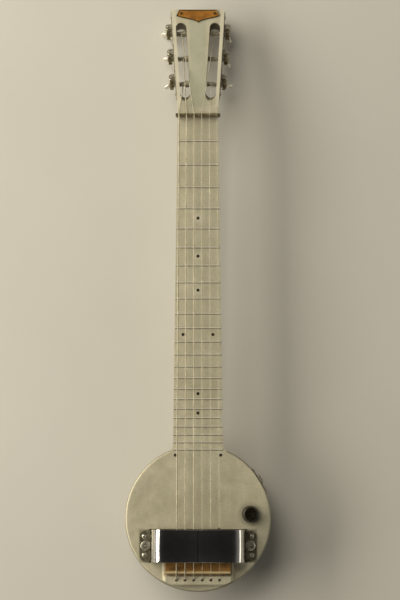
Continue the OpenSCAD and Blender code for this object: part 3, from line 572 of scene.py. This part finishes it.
# Which CAD nodes wear each finish
finishNodes = {
    "casting": ["body_casting"],
    "enamel": ["position_dots"],
    "nut": ["nut"],
    "saddle": ["bridge_saddle"],
    "badgeField": ["badge_plate"],
    "badgeRim": ["badge_pins"],
    "nickel": ["tuner_plate_left", "tuner_plate_right", "tuner_brackets_left", "tuner_brackets_right",
        "volume_pot", "pot_nut", "pot_shaft", "output_jack", "jack_nut", "jack_plate"]
        + [f"{part}_{number}" for part in ("post", "worm") for number in keyNumbers],
    "button": [f"button_{number}" for number in keyNumbers],
    "gearBrass": [f"gear_{number}" for number in keyNumbers],
    "screw": ["tuner_plate_screws", "pole_pieces", "ear_screws", "pickup_screws", "magnet_screws",
        "jack_plate_screws"],
    "chrome": ["magnet_left", "magnet_right"],
    "frame": ["pickup_frame"],
    "bobbin": ["pickup_bobbin"],
    "coil": ["pickup_coil"],
    "bakelite": ["volume_knob"],
    "wire": ["wiring"],
    "plainString": ["string_1", "string_2"],
    "woundThin": ["string_3", "string_4"],
    "woundThick": ["string_5", "string_6"],
}


def dressNodes():
    for key, names in finishNodes.items():
        for name in names:
            mesh = nodes[name].data
            mesh.materials.clear()
            mesh.materials.append(materials[key])


# Mesh helpers

def linkPiece(name, mesh, materialKeys, body, replaced=()):
    # makes a bmesh a piece at the origin that rides on a body
    data = bpy.data.meshes.new(name)
    mesh.to_mesh(data)
    mesh.free()
    for key in materialKeys:
        data.materials.append(materials[key])
    piece = bpy.data.objects.new(name, data)
    bpy.context.scene.collection.objects.link(piece)
    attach(piece, body)
    if replaced:
        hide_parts(*replaced)
    return piece


def finishPiece(name, mesh, materialKey, body, replaced=(), smooth=35):
    # the same, after cleaning; edges that turn more than smooth degrees stay sharp
    bmesh.ops.remove_doubles(mesh, verts=mesh.verts, dist=onePoint)
    bmesh.ops.recalc_face_normals(mesh, faces=mesh.faces)
    for face in mesh.faces:
        face.smooth = True
    for edge in mesh.edges:
        edge.smooth = not (edge.is_manifold and edge.calc_face_angle() > math.radians(smooth))
    return linkPiece(name, mesh, [materialKey], body, replaced)


def basis(place, x, y, z):
    turn = Matrix((x, y, z)).transposed().to_4x4()
    return Matrix.Translation(place) @ turn


def joinMesh(mesh, other):
    # adds another bmesh to this one and frees it
    data = bpy.data.meshes.new("joining")
    other.to_mesh(data)
    other.free()
    mesh.from_mesh(data)
    bpy.data.meshes.remove(data)


def addLathe(mesh, profile, steps=48):
    # spins a profile of (radius, height) points about Z
    verts = [mesh.verts.new((radius, 0, height)) for radius, height in profile]
    edges = [mesh.edges.new(pair) for pair in zip(verts, verts[1:])]
    bmesh.ops.spin(mesh, geom=verts + edges, cent=(0, 0, 0), axis=(0, 0, 1),
        angle=2 * math.pi, steps=steps, use_merge=True)
    bmesh.ops.remove_doubles(mesh, verts=mesh.verts, dist=onePoint)


def addHelix(mesh, radius, wireRadius, pitch, turns, start, sides=10, steps=28):
    # a round wire along a right-handed helix about Z, from angle start at height 0
    ring = bmesh.ops.create_circle(mesh, cap_ends=True, segments=sides, radius=wireRadius)["verts"]
    stand = (Matrix.Rotation(start, 4, "Z") @ Matrix.Translation((radius, 0, 0))
        @ Matrix.Rotation(math.pi / 2, 4, "X"))
    bmesh.ops.transform(mesh, matrix=stand, verts=ring)
    face = next(f for f in ring[0].link_faces)
    count = round(turns * steps)
    bmesh.ops.spin(mesh, geom=[face] + list(face.edges) + list(face.verts), cent=(0, 0, 0), axis=(0, 0, 1),
        dvec=(0, 0, pitch * turns / count), angle=2 * math.pi * turns, steps=count, use_merge=False)


def vertsIn(geometry):
    return [part for part in geometry if isinstance(part, bmesh.types.BMVert)]


def faceIn(geometry):
    return next(part for part in geometry if isinstance(part, bmesh.types.BMFace))


def tunerFrame(number):
    # the side, the key's and roller's places and the three axes of one tuning machine
    key = joints[f"key_{number}_turn"]
    roller = joints[f"roller_{number}_turn"]
    up = Vector(key["axis"]).normalized()
    across = Vector(roller["axis"]).normalized()
    along = up.cross(across).normalized()
    side = 1 if number <= 3 else -1
    return side, Vector(key["pos_m"]), Vector(roller["pos_m"]), across, along, up


wormSize = {
    "shaftRadius": 1.5 * mm,
    "shaftTop": 6.5 * mm,
    "coreRadius": 1.95 * mm,
    "length": 8 * mm,
    "bevel": 0.3 * mm,
    "threadRadius": 0.62 * mm,
    "threadMiddle": 2.35 * mm,
    "threadPitch": math.pi * 0.9 * mm,
    "threadTurns": 2.2,
    "steps": 24,
}

buttonSize = {
    "top": 17.1 * mm,             # below the worm's middle
    "width": 20.6 * mm,
    "length": 12.8 * mm,
    "thickness": 5.4 * mm,
    "barrelRadius": 2.7 * mm,
    "steps": 28,
    "angles": [5, -56, -62, 25, 25, -10],     # how each button stands at rest
    # the wings are thin beside the barrel, thicker at their tips and tallest halfway out
    "waist": 0.62, "flare": 0.55, "flareReach": 1.25,
    "shoulder": 0.86, "swell": 0.14, "swellReach": 1.1,
}


def makeWorm(number):
    size = wormSize
    _, place, _, across, along, up = tunerFrame(number)
    mesh = bmesh.new()
    half, top, bevel = size["length"] / 2, size["shaftTop"], size["bevel"]
    shaft, core = size["shaftRadius"], size["coreRadius"]
    foot = -buttonSize["top"] - 0.5 * buttonSize["length"]    # the shaft ends inside the button
    addLathe(mesh, [
        (0, top), (shaft - bevel, top), (shaft, top - bevel), (shaft, half),
        (core - bevel, half), (core, half - bevel), (core, -half + bevel), (core - bevel, -half),
        (shaft, -half), (shaft, foot), (0, foot),
    ], size["steps"])
    thread = bmesh.new()
    turns, pitch = size["threadTurns"], size["threadPitch"]
    addHelix(thread, size["threadMiddle"], size["threadRadius"], pitch, turns,
        -math.pi / 2 - math.pi * turns)
    bmesh.ops.translate(thread, verts=thread.verts, vec=(0, 0, -pitch * turns / 2))
    joinMesh(mesh, thread)
    bmesh.ops.transform(mesh, matrix=basis(place, across, along, up), verts=mesh.verts)
    return finishPiece(f"worm{number}", mesh, "nickel", f"key_{number}", [f"worm_{number}"])


def makeButton(number):
    # a pressed metal button: a barrel round the shaft between two scooped wings
    size = buttonSize
    side, place, _, across, along, up = tunerFrame(number)
    angle = math.radians(size["angles"][number - 1])
    wing = side * math.cos(angle) * across + math.sin(angle) * along
    mesh = bmesh.new()
    bmesh.ops.create_uvsphere(mesh, u_segments=40, v_segments=24, radius=0.5)
    halfWidth = size["width"] / 2
    for vert in mesh.verts:
        vert.co.x *= size["width"]
        vert.co.y *= size["thickness"]
        vert.co.z *= size["length"]
        out = abs(vert.co.x) / halfWidth
        vert.co.y *= size["waist"] + size["flare"] * min(1.0, out * size["flareReach"]) ** 2
        vert.co.z *= size["shoulder"] + size["swell"] * math.sin(math.pi * min(1.0, out * size["swellReach"]))
    barrel = bmesh.new()
    top = size["length"] / 2
    radius = size["barrelRadius"]
    addLathe(barrel, [
        (0, top), (radius - 0.7 * mm, top), (radius - 0.3 * mm, top - 0.5 * mm),
        (radius - 0.5 * mm, top - 2.2 * mm), (radius, top - 4 * mm), (radius * 1.02, -top * 0.45),
        (radius * 0.8, -top * 0.8), (radius * 0.45, -top * 0.93), (0, -top * 0.97),
    ], size["steps"])
    joinMesh(mesh, barrel)
    centre = place - up * (size["top"] + top)
    bmesh.ops.transform(mesh, matrix=basis(centre, wing, up.cross(wing), up), verts=mesh.verts)
    return finishPiece(f"button{number}", mesh, "button", f"key_{number}", [f"button_{number}"],
        50)


postSize = {
    "radius": 3 * mm,
    "inside": 22.75 * mm,         # reach into the headstock
    "shoulder": 3.2 * mm,
    "outside": 7.6 * mm,          # reach past the headstock, through the gear
    "seatRadius": 2.2 * mm,
    "bevel": 0.3 * mm,
    "steps": 40,
    "wrapTurns": 4,
    "stringRadii": [0.18 * mm, 0.23 * mm, 0.33 * mm, 0.46 * mm, 0.58 * mm, 0.71 * mm],
    "wrapPlaces": [9.5 * mm, 11.5 * mm, 11 * mm, 11 * mm, 11.5 * mm, 9.5 * mm],
}


def makePost(number):
    # a string post with the last turns of its string wound on
    size = postSize
    side, _, place, across, _, up = tunerFrame(number)
    out = side * across
    wire = size["stringRadii"][number - 1]
    radius, seat, bevel = size["radius"], size["seatRadius"], size["bevel"]
    inner, shoulder, outer = -size["inside"], size["shoulder"], size["outside"]
    mesh = bmesh.new()
    addLathe(mesh, [
        (0, inner), (radius - bevel, inner), (radius, inner + bevel), (radius, shoulder),
        (seat, shoulder), (seat, outer), (0, outer),
    ], size["steps"])
    bmesh.ops.transform(mesh, matrix=basis(place, up.cross(out).normalized() * -1, up, out), verts=mesh.verts)
    coil = bmesh.new()
    addHelix(coil, radius + wire, wire, 2.03 * wire, size["wrapTurns"], 0.0, 8, 32)
    # the turns start beside the straight string and run inwards
    start = place - out * (size["wrapPlaces"][number - 1] + 2.1 * wire)
    bmesh.ops.transform(coil, matrix=basis(start, up, -out.cross(up), -out), verts=coil.verts)
    plain = number < 3
    finishPiece(f"wraps{number}", coil, "plainString" if plain else "woundThin",
        f"roller_{number}", ())
    return finishPiece(f"post{number}", mesh, "nickel", f"roller_{number}", [f"post_{number}"])


magnetSize = {
    "thickness": 6.35 * mm,
    "bevel": 0.5 * mm,
    "tipBevel": 0.08 * mm,
    "bendSteps": 40,
    "sharpAngle": 60,
}


def makeMagnet(node, side, pieceName):
    # a bar of magnet steel bent round into a horseshoe
    size = magnetSize
    low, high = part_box(node)
    thick = size["thickness"]
    tip, bend = (low[0], high[0]) if side > 0 else (high[0], low[0])
    bendX = bend - side * (high[2] - low[2]) / 2
    middleZ = (high[2] + low[2]) / 2
    mesh = bmesh.new()
    corners = [(low[1], low[2]), (high[1], low[2]), (high[1], low[2] + thick), (low[1], low[2] + thick)]
    end = mesh.faces.new([mesh.verts.new((tip, y, z)) for y, z in corners])
    grown = bmesh.ops.extrude_face_region(mesh, geom=[end])["geom"]
    bmesh.ops.translate(mesh, verts=vertsIn(grown), vec=(bendX - tip, 0, 0))
    end = faceIn(grown)
    spun = bmesh.ops.spin(mesh, geom=[end] + list(end.edges) + list(end.verts),
        cent=(bendX, 0, middleZ), axis=(0, -side, 0), angle=math.pi,
        steps=size["bendSteps"], use_merge=False)["geom_last"]
    grown = bmesh.ops.extrude_face_region(mesh, geom=[faceIn(spun)])["geom"]
    bmesh.ops.translate(mesh, verts=vertsIn(grown), vec=(tip - bendX, 0, 0))
    inner = [face for face in mesh.faces if all(len(edge.link_faces) > 2 for edge in face.edges)]
    bmesh.ops.delete(mesh, geom=inner, context="FACES_ONLY")
    bmesh.ops.recalc_face_normals(mesh, faces=mesh.faces)
    for atTip, offset in ((True, size["tipBevel"]), (False, size["bevel"])):
        sharp = [edge for edge in mesh.edges
            if edge.is_manifold and edge.calc_face_angle() > math.radians(size["sharpAngle"])
            and atTip == all(abs(vert.co.x - tip) < 0.01 * mm for vert in edge.verts)]
        bmesh.ops.bevel(mesh, geom=sharp, offset=offset, segments=2, profile=0.5,
            affect="EDGES", material=-1)
    return finishPiece(pieceName, mesh, "chrome", "instrument", [node], 40)


pickupScrewSize = {
    "place": 64.8 * mm,
    "shank": 2.5 * mm,
    "head": 6.0 * mm,
    "rise": 2.6 * mm,
    "chamfer": 0.9 * mm,
    "wellRadius": 2.4 * mm,
    "wellDepth": 1.1 * mm,
    "pinRadius": 0.8 * mm,
    "steps": 40,
}


def makePickupScrews():
    # the two large screws: chamfered heads with a well and a pin in the middle
    size = pickupScrewSize
    low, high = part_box("pickup_screws")
    top = high[2]
    seat, wellFloor, pinTop = top - size["rise"], top - size["wellDepth"], top - 0.05 * mm
    shank, head, chamfer = size["shank"], size["head"], size["chamfer"]
    well, pin = size["wellRadius"], size["pinRadius"]
    mesh = bmesh.new()
    for side in (-1, 1):
        screw = bmesh.new()
        addLathe(screw, [
            (0, low[2]), (shank, low[2]), (shank, seat), (head, seat),
            (head, top - chamfer), (head - 0.35 * mm, top - chamfer + 0.3 * mm),
            (head - chamfer, top), (well + 0.3 * mm, top), (well, wellFloor), (pin, wellFloor),
            (pin, top - 0.3 * mm), (pin - 0.3 * mm, pinTop), (0, pinTop),
        ], size["steps"])
        bmesh.ops.translate(screw, verts=screw.verts, vec=(side * size["place"], (low[1] + high[1]) / 2, 0))
        joinMesh(mesh, screw)
    return finishPiece("pickupScrews", mesh, "screw", "instrument", ["pickup_screws"])


knobSize = {
    "flutes": 24,
    "fluteDepth": 0.35 * mm,
    "steps": 192,
    "wall": 2.4 * mm,
    "roofGap": 0.8 * mm,          # over the pot
    # outside of the shell, from its foot to its crown: in from the edge, then up from the bottom
    "skirt": [(0.5, 0), (0, 0.5), (0, 2.0), (0.5, 2.6), (0.7, 3.4)],
    # then in from the edge and down from the top
    "crown": [(1.0, 3.0), (1.4, 1.6), (2.2, 0.7), (3.4, 0.25), (4.6, 0.1), (5.2, 0.45)],
    "dish": 0.55 * mm,
    "gripFoot": 3.0 * mm,
    "gripTop": 1.2 * mm,
}


def makeKnob():
    # a hollow moulded knob with fine flutes round its grip
    size = knobSize
    low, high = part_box("volume_knob")
    radius = (high[0] - low[0]) / 2
    centre = Vector(((high[0] + low[0]) / 2, (high[1] + low[1]) / 2, 0))
    bottom, top = low[2], high[2]
    inner = radius - size["wall"]
    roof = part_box("volume_pot")[1][2] + size["roofGap"]
    skirt = [(radius - inward * mm, bottom + rise * mm) for inward, rise in size["skirt"]]
    crown = [(radius - inward * mm, top - drop * mm) for inward, drop in size["crown"]]
    dish = top - size["dish"]
    mesh = bmesh.new()
    addLathe(mesh, [(0, roof), (inner, roof), (inner, bottom)] + skirt + crown
        + [(radius * 0.2, dish), (0, dish)], size["steps"])
    for vert in mesh.verts:
        out = vert.co.xy.length
        inHeight = bottom + size["gripFoot"] < vert.co.z < top - size["gripTop"]
        if inHeight and out > inner + 0.3 * mm:
            wave = 0.5 - 0.5 * math.cos(size["flutes"] * math.atan2(vert.co.y, vert.co.x))
            vert.co.xy *= 1 - size["fluteDepth"] * wave / out
    bmesh.ops.translate(mesh, verts=mesh.verts, vec=centre)
    return finishPiece("volumeKnob", mesh, "bakelite", "volume", ["volume_knob"], 40)


badgeSize = {
    "height": 1.15 * mm,
    "edge": 0.8 * mm,
    "rim": 0.7 * mm,
    "step": 0.5 * mm,
    "fieldDrop": 0.35 * mm,
    # one half of the outline, across and back from the headstock's end
    "outline": [(24, -0.8), (27.9, -9.1), (22, -11.3), (14, -13.2), (6.5, -15.1), (2.6, -16.7), (0, -18.8)],
}


def makeBadge():
    # the headstock's shield: a raised rim round a plain copper field
    size = badgeSize
    across = Vector((1, 0, 0))
    up = Vector(joints["key_1_turn"]["axis"]).normalized()
    along = up.cross(across)
    half = [Vector((x, y, 0)) * mm for x, y in size["outline"]]
    outline = [Vector((-point.x, point.y, 0)) for point in reversed(half) if point.x > 0] + half
    mesh = bmesh.new()
    plate = mesh.faces.new([mesh.verts.new(point) for point in outline])
    grown = bmesh.ops.extrude_face_region(mesh, geom=[plate])["geom"]
    bmesh.ops.translate(mesh, verts=vertsIn(grown), vec=(0, 0, size["height"]))
    bmesh.ops.recalc_face_normals(mesh, faces=mesh.faces)
    field = max(mesh.faces, key=lambda face: face.calc_center_median().z)
    for thickness, depth in ((size["rim"], 0), (size["step"], -size["fieldDrop"])):
        bmesh.ops.inset_region(mesh, faces=[field], thickness=thickness, depth=depth,
            use_even_offset=True)
    for face in mesh.faces:
        face.material_index = 1 if face == field else 0
    # it stands on the far edge of the plate that it takes the place of
    foot = min((vert.co for vert in nodes["badge_plate"].data.vertices), key=lambda point: point.z)
    base = Vector((0, foot.y, foot.z)) + along * size["edge"]
    bmesh.ops.transform(mesh, matrix=basis(base, across, along, up), verts=mesh.verts)
    return linkPiece("badgePlate", mesh, ["badgeRim", "badgeField"], "instrument", ["badge_plate"])


def makeFloor():
    look = floorSetup
    mesh = bmesh.new()
    bmesh.ops.create_grid(mesh, x_segments=1, y_segments=1, size=look["size"] / 2)
    bmesh.ops.translate(mesh, verts=mesh.verts, vec=(0, 0, cadBox[0][2] - look["drop"]))
    data = bpy.data.meshes.new("studioFloor")
    mesh.to_mesh(data)
    mesh.free()
    material, tree, shader = newMaterial("paleFloor", roughness=0.85)
    tone = noise(tree, objectCoords(tree), 3.0, 3.0)
    paint(tree, shader, ramp(tree, tone, [(0.3, look["dark"]), (0.7, look["pale"])]))
    data.materials.append(material)
    floor = bpy.data.objects.new("studioFloor", data)
    bpy.context.scene.collection.objects.link(floor)


makeCamera()
makeLights()
makeSky()
print("camera, lights and sky are set")
dressNodes()
print("CAD nodes are dressed")
for number in keyNumbers:
    makeWorm(number)
    makeButton(number)
    makePost(number)
print("tuning machines are made")
makeMagnet("magnet_left", -1, "magnetLeft")
makeMagnet("magnet_right", 1, "magnetRight")
makePickupScrews()
makeKnob()
makeBadge()
print("pickup, knob and badge are made")
makeFloor()
bpy.context.scene.view_settings.view_transform = "Standard"
print("floor is laid")
